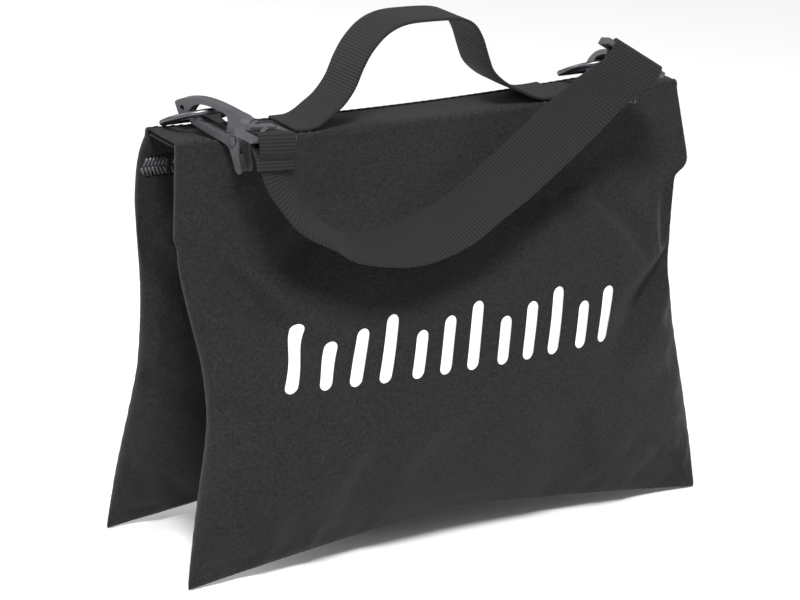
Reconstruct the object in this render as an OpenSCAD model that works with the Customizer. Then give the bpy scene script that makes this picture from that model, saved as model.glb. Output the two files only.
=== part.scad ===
// Saddle sandbag for stands and booms: two filled pouches hang from one flat band,
// with a webbing carry handle and a clip-on shoulder strap.
// Millimetres. X runs along the band, -Y is the printed front, +Z is up.
// The origin is on the floor, midway between the two pouches.

/* [Bag] */
// Height of the top of the band at its two ends
bag_h = 287; // [270:1:300]
// Width of each pouch across its bottom corners
bottom_w = 400; // [380:1:420]
// How far the pouch sides pull in at the waist, each side
waist_in = 11; // [6:1:14]
// How far the bottom seam rises in the middle
bottom_arc = 19; // [12:1:24]
// Lean of each pouch, outwards at the bottom
lean = 7.7; // [6.5:0.1:8.5]
// Half the thickness of a filled pouch at its fullest
fill_half = 33.5; // [28:0.5:34]
// Thickness of the panel cloth
cloth_t = 1; // [0.8:0.1:1.2]

/* [Band] */
// Length of the band
band_l = 383; // [376:1:388]
// Depth of the band, front to back
band_d = 44; // [43:0.5:46]
// Dip of the band in the middle
band_sag = 6; // [2:0.5:7]

/* [Webbing] */
// Width of the handle and strap webbing
web_w = 38; // [36:0.5:38]
// Thickness of the webbing
web_t = 2; // [1.6:0.1:2]

/* [Zips] */
// How far the middle of each zip lies below the band
zip_drop = 21; // [20:0.5:23]
// Height of the zip's coil
coil_h = 10.5; // [9:0.5:11]

/* [Clips] */
// Length of a clip from the strap bar to its nose
clip_l = 75; // [74:0.5:76]
// Thickness of the clip's body
clip_t = 8; // [7:0.5:8]
// Diameter of the wire of the rings
ring_wire = 4; // [3.6:0.1:4]

/* [Hidden] */
$fn = 48;

cloth_colour = "#2b2b2d";
web_colour = "#232325";
clip_colour = "#55565a";
metal_colour = "#3c3d40";
sand_colour = "#b9a27a";

// Band: three layers, top down
top_t = 1.6;
core_t = 1.8;
lining_t = 1.2;
layer_gap = 0.1;
band_under = bag_h - top_t - core_t - lining_t - 2 * layer_gap;
band_steps = 25;                         // odd, so that the middle of the underside is level

// Pouch: its own frame hangs from the hinge line, Y inwards, Z up
hinge_y = band_d / 2 + 0.4;
hinge_z = band_under - 0.4;
lap_half = 1.2;                          // half the space between the panels at the top
pouch_mid = 0.2 + cloth_t + lap_half;    // middle plane, behind the hinge line
pouch_len = (hinge_z - 0.5) / cos(lean);
lap_l = 52;                              // flat, unfilled lap below the band
lap_flare = 6.5;                         // the lap widens by this, each side, down to its corners
lap_notch = 8;                           // step in from the lap's corner to the pouch's side
// Half width of the panels, by the distance below the band
side_cut = [[0, band_l / 2], [24, band_l / 2 + 3], [lap_l - 5, band_l / 2 + lap_flare],
            [lap_l + 2, band_l / 2 + lap_flare - 1], [lap_l + 8, band_l / 2 + lap_flare - lap_notch],
            [100, band_l / 2 - 5], [150, band_l / 2 - waist_in], [190, band_l / 2 - waist_in + 3],
            [240, band_l / 2], [pouch_len, bottom_w / 2]];
across = 24;
down = 20;

// Webbing strap
strap_steps = 4;

// Clips, in their own frame: X from the strap bar to the nose, Y along the bar, Z to the gate
bar_r = 2.4;
rivet_at = [25.6, 11];
ring_half = 21;
ring_arm = 8;
ring_r = ring_wire / 2;
ring_bar = [18, 289];
tab_x = 151;
left_ring_x = -160;
right_ring_x = 143;
left_ring_lift = 24;
right_ring_lift = 25;
left_clip_at = [-142, -56, 292.6];
left_clip_dir = [-28, 68, 16.5];
right_clip_at = [128, -60, 317];
right_clip_dir = [15, 73, -17];
left_bow_roll = 11;                      // turn of each strap bow on its clip
right_bow_roll = 33;

// Middle of the strap from the left bar to the right one, and the way its width points between them
strap_route = [[-142, -57, 289], [-140, -57, 278], [-134, -58, 262], [-127, -62, 248], [-117, -64, 236],
               [-104, -66, 226], [-90, -67, 218], [-69, -67, 214], [-42, -67, 215], [-12, -65, 223],
               [13, -62, 236], [41, -59, 252], [75, -57, 275], [104, -58, 297], [118, -59, 310],
               [125.5, -60, 314.5]];
strap_across = [[8, 5, -2], [8, 5, -1], [8, 6, -1], [7, 7, -1],
                [6, 8, -1], [5, 9, 1], [3, 9, 3], [1, 8, 5], [-1, 8, 6],
                [-2, 8, 6], [-4, 6, 7], [-4, 5, 7], [-5, 4, 7], [-7, 3, 6]];
strap_shear = 6;                         // sections over which its ends turn square to their bars

// ---- helpers ----

function unit(a) = a / norm(a);
function smooth(t) = let (c = min(1, max(0, t))) c * c * (3 - 2 * c);
function dip(x) = band_sag * (1 - pow(2 * x / band_l, 2));

// A closed slab between a front grid and a back grid of points, both rows by columns
module slab(front, back) {
    rows = len(front);
    cols = len(front[0]);
    count = rows * cols;
    points = concat([for (r = front) for (p = r) p], [for (r = back) for (p = r) p]);
    function f(r, c) = r * cols + c;
    function b(r, c) = count + r * cols + c;
    function quad(p, q, r, s) = [[p, q, r], [p, r, s]];
    sheets = [for (r = [0 : rows - 2]) for (c = [0 : cols - 2])
        concat(quad(f(r, c), f(r + 1, c), f(r + 1, c + 1), f(r, c + 1)),
               quad(b(r, c), b(r, c + 1), b(r + 1, c + 1), b(r + 1, c)))];
    ends = [for (c = [0 : cols - 2])
        concat(quad(f(0, c), f(0, c + 1), b(0, c + 1), b(0, c)),
               quad(f(rows - 1, c + 1), f(rows - 1, c), b(rows - 1, c), b(rows - 1, c + 1)))];
    sides = [for (r = [0 : rows - 2])
        concat(quad(f(r + 1, 0), f(r, 0), b(r, 0), b(r + 1, 0)),
               quad(f(r, cols - 1), f(r + 1, cols - 1), b(r + 1, cols - 1), b(r, cols - 1)))];
    polyhedron(points, [for (g = concat(sheets, ends, sides)) for (t = g) t], convexity = 6);
}

// Catmull-Rom curve through a list of points
function between(p, i, t) = let (
        a = p[max(0, i - 1)], b = p[i], c = p[i + 1], d = p[min(len(p) - 1, i + 2)])
    0.5 * (2 * b + (c - a) * t + (2 * a - 5 * b + 4 * c - d) * t * t + (3 * b - a - 3 * c + d) * t * t * t);
function curve(p, steps) = concat(
    [for (i = [0 : len(p) - 2]) for (k = [0 : steps - 1]) between(p, i, k / steps)], [p[len(p) - 1]]);

// Places a shape drawn along X into the frame whose X is along dir and whose Y stays level
module aim(at, dir, roll = 0) {
    flat = norm([dir[0], dir[1]]);
    translate(at) rotate([0, 0, atan2(dir[1], dir[0])]) rotate([0, -atan2(dir[2], flat), 0])
        rotate([roll, 0, 0]) children();
}

// The way the bar of a strap bow points
function bar_way(dir, roll) = let (level = unit([-dir[1], dir[0], 0]))
    cos(roll) * level + sin(roll) * cross(unit(dir), level);

module left_clip_place() aim(left_clip_at, left_clip_dir, 180) children();
module right_clip_place() aim(right_clip_at, right_clip_dir, 180) children();
module left_bow_place() aim(left_clip_at, left_clip_dir, left_bow_roll) children();
module right_bow_place() aim(right_clip_at, right_clip_dir, right_bow_roll) children();

// ---- band ----

// One layer of the band, its top side drop below the top of the band
module band_layer(drop, thick, inset, depth) {
    half = band_l / 2 - inset;
    xs = [for (i = [0 : band_steps]) -half + 2 * half * i / band_steps];
    top = [for (x = xs) [x, bag_h - drop - dip(x)]];
    under = [for (i = [band_steps : -1 : 0]) [xs[i], bag_h - drop - thick - dip(xs[i])]];
    translate([0, depth / 2, 0]) rotate([90, 0, 0]) linear_extrude(depth) polygon(concat(top, under));
}

module band_top() color(cloth_colour) band_layer(0, top_t, 0, band_d);
module band_core() color(web_colour) band_layer(top_t + layer_gap, core_t, 2, band_d - 4);
// The lining lies between the two pouches' laps
module band_lining() color(cloth_colour)
    band_layer(top_t + core_t + 2 * layer_gap, lining_t, 0, band_d - 11);

// Webbing loop sewn near the rear edge, which holds the straight bar of a ring
module ring_tab(x) {
    wide = 18;
    loop_r = ring_r + 1.6;
    plate = 20;
    color(web_colour) difference() {
        union() {
            translate([x - wide / 2, ring_bar[0], ring_bar[1]]) rotate([0, 90, 0])
                cylinder(r = loop_r, h = wide);
            translate([x - wide / 2, ring_bar[0] - plate, ring_bar[1] - loop_r])
                cube([wide, plate, 1.4]);
        }
        translate([x - wide / 2 - 1, ring_bar[0], ring_bar[1]]) rotate([0, 90, 0])
            cylinder(r = ring_r + 0.05, h = wide + 2);
    }
}
module left_ring_tab() ring_tab(-tab_x);
module right_ring_tab() ring_tab(tab_x);

// ---- handle ----

// Middle line of the handle's arch, X and Z, left foot to right foot
handle_line = [[-80, 292], [-70, 297], [-62, 307], [-56, 320], [-49, 331], [-38, 341], [-24, 346],
               [-4, 346.5], [16, 345], [27, 340.5], [34, 331], [39, 318], [44, 307], [54, 298],
               [66, 293], [76, 290]];

module handle_webbing() {
    line = curve(handle_line, 3);
    n = len(line);
    normal = [for (i = [0 : n - 1])
        let (d = unit(line[min(n - 1, i + 1)] - line[max(0, i - 1)])) [-d[1], d[0]]];
    outer = [for (i = [0 : n - 1]) line[i] + normal[i] * web_t / 2];
    inner = [for (i = [n - 1 : -1 : 0]) line[i] - normal[i] * web_t / 2];
    color(web_colour) translate([0, web_w / 2, 0]) rotate([90, 0, 0])
        linear_extrude(web_w) polygon(concat(outer, inner));
}

// Sewn end of the handle, lying on the band
module handle_foot(from, to) {
    steps = 6;
    xs = [for (i = [0 : steps]) from + (to - from) * i / steps];
    under = [for (x = xs) [x, bag_h - dip(x) + 0.1]];
    top = [for (i = [steps : -1 : 0]) [xs[i], bag_h - dip(xs[i]) + 0.1 + web_t]];
    color(web_colour) translate([0, web_w / 2, 0]) rotate([90, 0, 0])
        linear_extrude(web_w) polygon(concat(under, top));
}
module left_handle_foot() handle_foot(-104, -80);
module right_handle_foot() handle_foot(80, 104);

// ---- pouches ----

// Height of the bottom seam and of the top edge in the pouch frame, at u from -1 to 1
function seam_z(u) = -pouch_len + bottom_arc * (1 - pow(abs(u), 1.35));
function edge_z(u) = -0.3 - band_sag * (1 - u * u);
function level(u, z) = (z - seam_z(u)) / (edge_z(u) - seam_z(u));

// Half width and half thickness at level s, 0 at the bottom seam and 1 at the top edge
lap_s = 1 - lap_l / pouch_len;
function half_w(s) = lookup((1 - s) * pouch_len, side_cut);
function belly(s) = s < lap_s + 0.04 ? sin(180 * pow(min(1, s / (lap_s + 0.04)), 0.62)) : 0;
function half_t(u, s) = lap_half * smooth(s * 8) + 0.15
    + (fill_half - lap_half) * belly(s) * sqrt(max(0, 1 - pow(abs(u), 2.3)));

// Grid of points on the face that lies off the middle plane by the half thickness plus more
function face(side, more, shrink, low, high, columns, rows) =
    [for (r = [0 : rows]) [for (c = [0 : columns])
        let (u = -1 + 2 * c / columns,
             z = low(u) + (high(u) - low(u)) * r / rows,
             s = level(u, z))
        [u * half_w(s) * shrink, pouch_mid + side * max(0.15, half_t(u, s) + more), z]]];

zip_z = -zip_drop;
slot_half = coil_h / 2 + 0.6;
slot_low = function (u) zip_z - slot_half;
slot_high = function (u) zip_z + slot_half;
bottom_edge = function (u) seam_z(u);
top_edge = function (u) edge_z(u);
fill_gap = 1.8;                          // between the cloth and the bag of sand
fill_low = function (u) seam_z(u) + 12;
fill_high = function (u) -lap_l - 8;

// Puts a shape drawn in the pouch frame on the front or the rear pouch
module front_pouch() translate([0, -hinge_y, hinge_z]) rotate([-lean, 0, 0]) children();
module rear_pouch() mirror([0, 1, 0]) front_pouch() children();

module outer_panel() color(cloth_colour)
    slab(face(-1, cloth_t, 1, bottom_edge, top_edge, across, down),
         face(-1, 0, 1, bottom_edge, top_edge, across, down));

module inner_panel() color(cloth_colour)
    slab(face(1, 0, 1, bottom_edge, slot_low, across, down),
         face(1, cloth_t, 1, bottom_edge, slot_low, across, down));

module inner_strip() color(cloth_colour)
    slab(face(1, 0, 1, slot_high, top_edge, across, 2),
         face(1, cloth_t, 1, slot_high, top_edge, across, 2));

module sand_bag() color(sand_colour)
    slab(face(-1, -fill_gap, 0.95, fill_low, fill_high, 16, 12),
         face(1, -fill_gap, 0.95, fill_low, fill_high, 16, 12));

// ---- zips ----

zip_half = band_l / 2 - 12;
tape_h = 12;
tape_t = 0.7;
tape_y = pouch_mid + lap_half - tape_t - 0.1;
coil_y = pouch_mid + lap_half;
coil_out = 3.2;

module zip_tapes() color(web_colour) {
    translate([-zip_half, tape_y, zip_z + 0.3]) cube([2 * zip_half, tape_t, tape_h]);
    translate([-zip_half, tape_y, zip_z - 0.3 - tape_h]) cube([2 * zip_half, tape_t, tape_h]);
}

// The closed coil, as one rounded bar; it starts past the slider's home at the right end
coil_from = -zip_half + 6;
coil_to = zip_half - 26;
module zip_coil() color(web_colour)
    translate([coil_from, coil_y + 0.05, zip_z]) rotate([90, 0, 90]) linear_extrude(coil_to - coil_from)
        polygon([[0, -coil_h / 2], [coil_out - 1, -coil_h / 2], [coil_out, -coil_h / 2 + 2],
                 [coil_out, coil_h / 2 - 2], [coil_out - 1, coil_h / 2], [0, coil_h / 2]]);

module zip_stops() color(metal_colour) {
    translate([coil_from - 4, coil_y + 0.05, zip_z - coil_h / 2]) cube([3.5, 2.6, coil_h]);
    for (z = [-coil_h / 2, coil_h / 2 - 4])
        translate([zip_half - 5, coil_y + 0.05, zip_z + z]) cube([3.5, 2.6, 4]);
}

// Slider: two plates joined by a neck, with a bridge for the pull; it travels to -X to open
slider_l = 17;
slider_x = zip_half - 25;
slider_y = coil_y + coil_out + 0.35;
bridge_y = slider_y + 2.6;
pull_pin = [slider_x + 9, bridge_y + 0.2];

module zip_slider() color(metal_colour) {
    translate([slider_x, slider_y, zip_z - 5.2]) cube([slider_l, 1.4, 10.4]);
    difference() {
        translate([pull_pin[0] - 3.2, slider_y + 1.3, zip_z - 2.6]) cube([6.4, 4, 5.2]);
        translate([pull_pin[0], pull_pin[1], zip_z - 4]) cylinder(r = 1.15, h = 8);
    }
}

// Pull tab on its pin, lying towards -X
module zip_pull() color(metal_colour) {
    arm = 22;
    translate([pull_pin[0], pull_pin[1], zip_z - 4.6]) cylinder(r = 1.1, h = 9.2);
    for (z = [-4.6, 3])
        translate([pull_pin[0] - 8, pull_pin[1] - 1.1, zip_z + z]) cube([8, 2.2, 1.6]);
    translate([pull_pin[0] - arm, pull_pin[1] - 1.1, zip_z - 4.6]) difference() {
        cube([arm - 6, 2.2, 9.2]);
        translate([4, -1, 2.6]) cube([7, 4.2, 4]);
    }
}

// ---- rings ----

// D-ring: straight bar along X at the origin, arc towards -Y
module d_ring(x, lift) {
    color(metal_colour) translate([x, ring_bar[0], ring_bar[1]]) rotate([-lift, 0, 0]) {
        translate([-ring_half, 0, 0]) rotate([0, 90, 0]) cylinder(r = ring_r, h = 2 * ring_half);
        for (s = [-1, 1]) translate([s * ring_half, 0, 0]) {
            sphere(r = ring_r);
            rotate([90, 0, 0]) cylinder(r = ring_r, h = ring_arm);
        }
        translate([0, -ring_arm, 0]) rotate([0, 0, 180]) rotate_extrude(angle = 180)
            translate([ring_half, 0]) circle(r = ring_r);
    }
}
module left_d_ring() d_ring(left_ring_x, left_ring_lift);
module right_d_ring() d_ring(right_ring_x, right_ring_lift);

// ---- clips ----

cross_at = 9;
cross_t = 5;
collar_end = 24;
post_r = 3;
sleeve_r = bar_r + 0.1 + web_t;          // outside of the strap's sewn end

// Loop of the clip that the strap is sewn round, turning on the clip's post
module strap_bow() color(clip_colour) difference() {
    union() {
        translate([0, -23, 0]) rotate([-90, 0, 0]) cylinder(r = bar_r, h = 46);
        for (y = [-23, 20]) translate([0, y, -bar_r]) cube([cross_at + 1, 3, 2 * bar_r]);
        translate([cross_at, -14, -4.5]) cube([cross_t, 28, 9]);
        for (y = [-23, 13]) translate([cross_at, y, -bar_r]) cube([cross_t, 10, 2 * bar_r]);
    }
    translate([cross_at - 1, 0, 0]) rotate([0, 90, 0]) cylinder(r = post_r + 0.05, h = cross_t + 2);
}

// Side outline of the clip's hooked body: heel, back, nose and jaw
module clip_outline() {
    nose = clip_l - 7;
    difference() {
        polygon([[collar_end - 2, -5], [32, -6.6], [50, -7], [nose, -6.8], [clip_l, -6.4],
                 [clip_l - 0.6, -3.4], [clip_l - 1.6, 4], [clip_l - 3.4, 12], [clip_l - 6, 14.2],
                 [nose - 3, 14.2], [nose - 4, 10], [nose - 4, -2], [50, -2.6], [34, -1.6], [33, 9],
                 [30, 14], [26, 15.4], [21.5, 14], [20.5, 9], [collar_end - 3, 4]]);
        translate([nose + 1, 1.4]) circle(r = 1.9);
        translate([nose - 8, -2.4]) square([4.4, 13]);
    }
}

module clip_body() color(clip_colour) {
    rotate([0, 90, 0]) {
        translate([0, 0, 5.4]) cylinder(r = 4.6, h = cross_at - 5.7);
        translate([0, 0, 6]) cylinder(r = post_r, h = 10);
        translate([0, 0, cross_at + cross_t + 0.3]) cylinder(r = 6.4, h = collar_end - cross_at - cross_t - 0.3);
    }
    difference() {
        translate([0, clip_t / 2, 0]) rotate([90, 0, 0]) linear_extrude(clip_t) clip_outline();
        translate([rivet_at[0], -6, rivet_at[1]]) rotate([-90, 0, 0]) cylinder(r = 1.85, h = 12);
        translate([rivet_at[0], 2, rivet_at[1]]) rotate([-90, 0, 0]) cylinder(r = 6, h = 4);
    }
}

module clip_rivet() color(metal_colour) translate([rivet_at[0], 0, rivet_at[1]]) rotate([-90, 0, 0]) {
    translate([0, 0, -6.3]) cylinder(r = 1.8, h = 12.6);
    for (z = [-7.4, 6.2]) translate([0, 0, z]) cylinder(r = 3, h = 1.2);
}

// Closing spring, coiled on the rivet in the body's recess
module clip_spring() color(metal_colour) translate([rivet_at[0], 2.2, rivet_at[1]]) rotate([-90, 0, 0])
    difference() {
        cylinder(r = 3.6, h = 1.8);
        translate([0, 0, -1]) cylinder(r = 2.2, h = 4);
    }

// Channel-shaped gate with its thumb lever, turning on the rivet
gate_tip = clip_l - 12;
gate_out = 6;                            // outside of each cheek
cheek_t = 1.6;
lever_turn = 119.2;

module gate_cheek() difference() {
    union() {
        translate(rivet_at) circle(r = 4.6);
        polygon([[rivet_at[0], 9.6], [gate_tip - 2, 9.6], [gate_tip - 1, 10.6], [gate_tip - 1, 12],
                 [gate_tip - 4, 13], [36, 14.2], [rivet_at[0], 15]]);
        translate(rivet_at) rotate(lever_turn)
            polygon([[0, -4], [19, -3.4], [21, -2], [21, 0.4], [19, 1.8], [0, 2.6]]);
    }
    translate(rivet_at) circle(r = 1.85);
}

module clip_gate() color(clip_colour) {
    for (y = [cheek_t - gate_out, gate_out])
        translate([0, y, 0]) rotate([90, 0, 0]) linear_extrude(cheek_t) gate_cheek();
    translate([36, 0.1 - gate_out, 10.9]) cube([gate_tip - 37.2, 2 * gate_out - 0.2, 1.4]);
    translate([rivet_at[0], 0.1 - gate_out, rivet_at[1]]) rotate([0, -lever_turn, 0])
        translate([7.5, 0, -3.3]) cube([11.4, 2 * gate_out - 0.2, 1.9]);
}

module left_strap_bow() left_bow_place() strap_bow();
module right_strap_bow() right_bow_place() strap_bow();
module left_clip_body() left_clip_place() clip_body();
module right_clip_body() right_clip_place() clip_body();
module left_clip_rivet() left_clip_place() clip_rivet();
module right_clip_rivet() right_clip_place() clip_rivet();
module left_clip_spring() left_clip_place() clip_spring();
module right_clip_spring() right_clip_place() clip_spring();
module left_clip_gate() left_clip_place() clip_gate();
module right_clip_gate() right_clip_place() clip_gate();

// ---- shoulder strap ----

module shoulder_strap() {
    route = curve(strap_route, strap_steps);
    wide = curve(concat([-9.5 * bar_way(left_clip_dir, left_bow_roll)], strap_across,
                        [9.5 * bar_way(right_clip_dir, right_bow_roll)]), strap_steps);
    n = len(route);
    along = [for (i = [0 : n - 1]) unit(route[min(n - 1, i + 1)] - route[max(0, i - 1)])];
    square = [for (i = [0 : n - 1]) smooth(min(i, n - 1 - i) / strap_shear)];
    side = [for (i = [0 : n - 1]) unit(wide[i] - square[i] * (wide[i] * along[i]) * along[i])];
    out = [for (i = [0 : n - 1]) unit(cross(along[i], side[i])) * web_t / 2];
    front = [for (i = [0 : n - 1]) [for (k = [-1, 0, 1]) route[i] + k * side[i] * web_w / 2 + out[i]]];
    back = [for (i = [0 : n - 1]) [for (k = [-1, 0, 1]) route[i] + k * side[i] * web_w / 2 - out[i]]];
    color(web_colour) difference() {
        slab(back, front);
        left_bow_place() end_clearance();
        right_bow_place() end_clearance();
    }
}

// Room for the sewn end of the strap
module end_clearance() rotate([90, 0, 0]) cylinder(r = sleeve_r + 0.1, h = web_w + 12, center = true);

// Sewn end of the strap, wrapped round the bar of a clip's bow
module strap_end() color(web_colour) rotate([90, 0, 0]) difference() {
    cylinder(r = sleeve_r, h = web_w, center = true);
    cylinder(r = bar_r + 0.1, h = web_w + 2, center = true);
}
module left_strap_end() left_bow_place() strap_end();
module right_strap_end() right_bow_place() strap_end();

// ---- the two pouches ----

module front_outer_panel() front_pouch() outer_panel();
module front_inner_panel() front_pouch() inner_panel();
module front_inner_strip() front_pouch() inner_strip();
module front_sand_bag() front_pouch() sand_bag();
module front_zip_tapes() front_pouch() zip_tapes();
module front_zip_coil() front_pouch() zip_coil();
module front_zip_stops() front_pouch() zip_stops();
module front_zip_slider() front_pouch() zip_slider();
module front_zip_pull() front_pouch() zip_pull();
module rear_outer_panel() rear_pouch() outer_panel();
module rear_inner_panel() rear_pouch() inner_panel();
module rear_inner_strip() rear_pouch() inner_strip();
module rear_sand_bag() rear_pouch() sand_bag();
module rear_zip_tapes() rear_pouch() zip_tapes();
module rear_zip_coil() rear_pouch() zip_coil();
module rear_zip_stops() rear_pouch() zip_stops();
module rear_zip_slider() rear_pouch() zip_slider();
module rear_zip_pull() rear_pouch() zip_pull();

band_top();
band_core();
band_lining();
left_ring_tab();
right_ring_tab();
left_handle_foot();
right_handle_foot();
handle_webbing();
left_d_ring();
right_d_ring();
front_outer_panel();
front_inner_panel();
front_inner_strip();
front_sand_bag();
front_zip_tapes();
front_zip_coil();
front_zip_stops();
front_zip_slider();
front_zip_pull();
rear_outer_panel();
rear_inner_panel();
rear_inner_strip();
rear_sand_bag();
rear_zip_tapes();
rear_zip_coil();
rear_zip_stops();
rear_zip_slider();
rear_zip_pull();
shoulder_strap();
left_strap_end();
right_strap_end();
left_strap_bow();
right_strap_bow();
left_clip_body();
left_clip_rivet();
left_clip_spring();
left_clip_gate();
right_clip_body();
right_clip_rivet();
right_clip_spring();
right_clip_gate();
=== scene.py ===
# Saddle sandbag: two zipped pouches of black oxford cloth hung from a flat band, with a webbing
# handle, a shoulder strap on two trigger clips, and a printed row of bars on the front.
import math
import bpy
import bmesh
from mathutils import Matrix, Vector, noise
from mathutils.bvhtree import BVHTree


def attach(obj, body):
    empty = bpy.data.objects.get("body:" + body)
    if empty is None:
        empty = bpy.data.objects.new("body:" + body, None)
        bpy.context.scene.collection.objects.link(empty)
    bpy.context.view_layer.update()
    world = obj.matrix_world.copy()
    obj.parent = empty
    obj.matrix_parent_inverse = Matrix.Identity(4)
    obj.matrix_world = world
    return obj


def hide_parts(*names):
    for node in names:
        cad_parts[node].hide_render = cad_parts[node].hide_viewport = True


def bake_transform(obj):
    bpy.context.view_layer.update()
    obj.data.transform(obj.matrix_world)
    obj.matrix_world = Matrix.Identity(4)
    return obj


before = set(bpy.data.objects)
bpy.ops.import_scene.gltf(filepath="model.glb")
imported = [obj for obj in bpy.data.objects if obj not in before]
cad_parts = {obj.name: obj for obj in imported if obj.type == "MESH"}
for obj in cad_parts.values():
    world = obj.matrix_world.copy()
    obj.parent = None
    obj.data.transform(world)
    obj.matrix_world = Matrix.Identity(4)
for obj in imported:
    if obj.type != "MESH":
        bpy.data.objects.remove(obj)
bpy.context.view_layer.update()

mm = 0.001
scene = bpy.context.scene

# ---- Studio ----
# A pale seamless floor under a soft key light high in front, a weak fill on the right and a rim
# light behind the left end. The camera stands well back, off the left end and above the bag.


def linear(code):
    """An sRGB hex colour as linear light."""
    parts = [int(code[i:i + 2], 16) / 255 for i in (1, 3, 5)]
    return [c / 12.92 if c <= 0.04045 else ((c + 0.055) / 1.055) ** 2.4 for c in parts] + [1]


def add(tree, kind, sockets=None, **settings):
    """One node with its settings; a socket's value may be another node's output."""
    node = tree.nodes.new(kind)
    for name, value in settings.items():
        setattr(node, name, value)
    for name, value in (sockets or {}).items():
        if isinstance(value, bpy.types.NodeSocket):
            tree.links.new(value, node.inputs[name])
        else:
            node.inputs[name].default_value = value
    return node


def material(name):
    """An empty material: its node tree and its surface shader."""
    made = bpy.data.materials.new(name)
    made.use_nodes = True
    return made, made.node_tree, made.node_tree.nodes["Principled BSDF"]


yaw, pitch, roll = (math.radians(a) for a in (31.74, 18.47, 1.89))
ahead = Vector((math.sin(yaw) * math.cos(pitch), math.cos(yaw) * math.cos(pitch), -math.sin(pitch)))
level = Vector((math.cos(yaw), -math.sin(yaw), 0))
over = level.cross(ahead)
right = level * math.cos(roll) + over * math.sin(roll)
top = over * math.cos(roll) - level * math.sin(roll)
lens = bpy.data.cameras.new("camera")
lens.sensor_width, lens.sensor_fit, lens.lens, lens.clip_end = 36, "HORIZONTAL", 144, 60
camera = bpy.data.objects.new("camera", lens)
camera.matrix_world = (Matrix.Translation((-1.0784, -1.7256, 0.8289))
                       @ Matrix((right, top, -ahead)).transposed().to_4x4())
scene.collection.objects.link(camera)
scene.camera = camera
scene.view_settings.view_transform = "Standard"
scene.view_settings.look = "None"

middle_of_bag = Vector((0, 0, 0.15))
for name, place, size, watts in (("key", (-0.9, -1.6, 2.9), 0.8, 128),
                                 ("fill", (2.6, -2.2, 1.4), 2.6, 4),
                                 ("rim", (-1.8, 1.6, 2.4), 2.0, 46)):
    lamp = bpy.data.lights.new(name, "AREA")
    lamp.energy, lamp.size = watts, size
    light = bpy.data.objects.new(name, lamp)
    aim = middle_of_bag - Vector(place)
    turned = aim.to_track_quat("-Z", "Y").to_matrix().to_4x4()
    light.matrix_world = Matrix.Translation(place) @ turned
    scene.collection.objects.link(light)

world = bpy.data.worlds.new("studio")
world.use_nodes = True
sky = world.node_tree.nodes["Background"]
sky.inputs["Color"].default_value = (1, 1, 1, 1)
sky.inputs["Strength"].default_value = 0.42
scene.world = world


def mesh_piece(name, bm, *looks):
    """A finished bmesh as an object at the origin, with its materials."""
    mesh = bpy.data.meshes.new(name)
    bm.to_mesh(mesh)
    bm.free()
    for face in mesh.polygons:
        face.use_smooth = True
    for look in looks:
        mesh.materials.append(look)
    piece = bpy.data.objects.new(name, mesh)
    scene.collection.objects.link(piece)
    return piece


paper, tree, shader = material("matt white paper")
shader.inputs["Roughness"].default_value = 0.9
grain = add(tree, "ShaderNodeTexNoise", {"Vector": add(tree, "ShaderNodeTexCoord").outputs["Object"],
                                         "Scale": 3, "Detail": 2})
tone = add(tree, "ShaderNodeMix", {"Factor": grain.outputs["Fac"], "A": linear("#f4f4f4"),
                                   "B": linear("#fafafa")}, data_type="RGBA")
tree.links.new(tone.outputs["Result"], shader.inputs["Base Color"])
bm = bmesh.new()
bmesh.ops.create_grid(bm, x_segments=2, y_segments=2, size=14)
floor = mesh_piece("floor", bm, paper)

# ---- Pouches ----
# Each pouch is an outer and an inner panel of coated 600-denier oxford, sewn inside out along the
# sides and the bottom, with pointed corners. Above the sand the two panels hang as a flat lap, a
# little wider than the pouch, whose top is sewn under the band; the inner panel is cut for the zip.

oxford, tree, shader = material("black oxford cloth")
shader.inputs["Roughness"].default_value = 0.86
shader.inputs["Specular IOR Level"].default_value = 0.25
shader.inputs["Sheen Weight"].default_value = 0.06
shader.inputs["Sheen Roughness"].default_value = 0.5
# Threads lie 0.5 mm apart in the cloth; the two sets of slubs are drawn about 1.1 mm apart to show.
thread = 1 / (1.1 * mm)
where = add(tree, "ShaderNodeTexCoord").outputs["Object"]
weft = add(tree, "ShaderNodeTexNoise", {
    "Vector": add(tree, "ShaderNodeMapping", {"Vector": where, "Scale": (0.4, 0.7, 1)}).outputs["Vector"],
    "Scale": thread, "Detail": 1.5, "Roughness": 0.6})
warp = add(tree, "ShaderNodeTexNoise", {
    "Vector": add(tree, "ShaderNodeMapping", {"Vector": where, "Scale": (1, 1, 0.42)}).outputs["Vector"],
    "Scale": thread, "Detail": 1.5, "Roughness": 0.6})
weave = add(tree, "ShaderNodeMath", {0: weft.outputs["Fac"], 1: warp.outputs["Fac"]}, operation="ADD")
height = add(tree, "ShaderNodeMapRange", {"Value": weave.outputs["Value"],
                                          "From Min": 0.72, "From Max": 1.32})
broad = add(tree, "ShaderNodeTexNoise", {"Vector": where, "Scale": 9, "Detail": 3})
dusty = add(tree, "ShaderNodeMix", {"Factor": broad.outputs["Fac"], "A": linear("#0f0f11"),
                                    "B": linear("#131315")}, data_type="RGBA")
pale = add(tree, "ShaderNodeMix", {"Factor": broad.outputs["Fac"], "A": linear("#222224"),
                                   "B": linear("#29292b")}, data_type="RGBA")
colour = add(tree, "ShaderNodeMix", {"Factor": height.outputs["Result"], "A": dusty.outputs["Result"],
                                     "B": pale.outputs["Result"]}, data_type="RGBA")
bump = add(tree, "ShaderNodeBump", {"Height": height.outputs["Result"], "Strength": 0.7,
                                    "Distance": 0.4 * mm})
tree.links.new(colour.outputs["Result"], shader.inputs["Base Color"])
tree.links.new(bump.outputs["Normal"], shader.inputs["Normal"])

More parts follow.
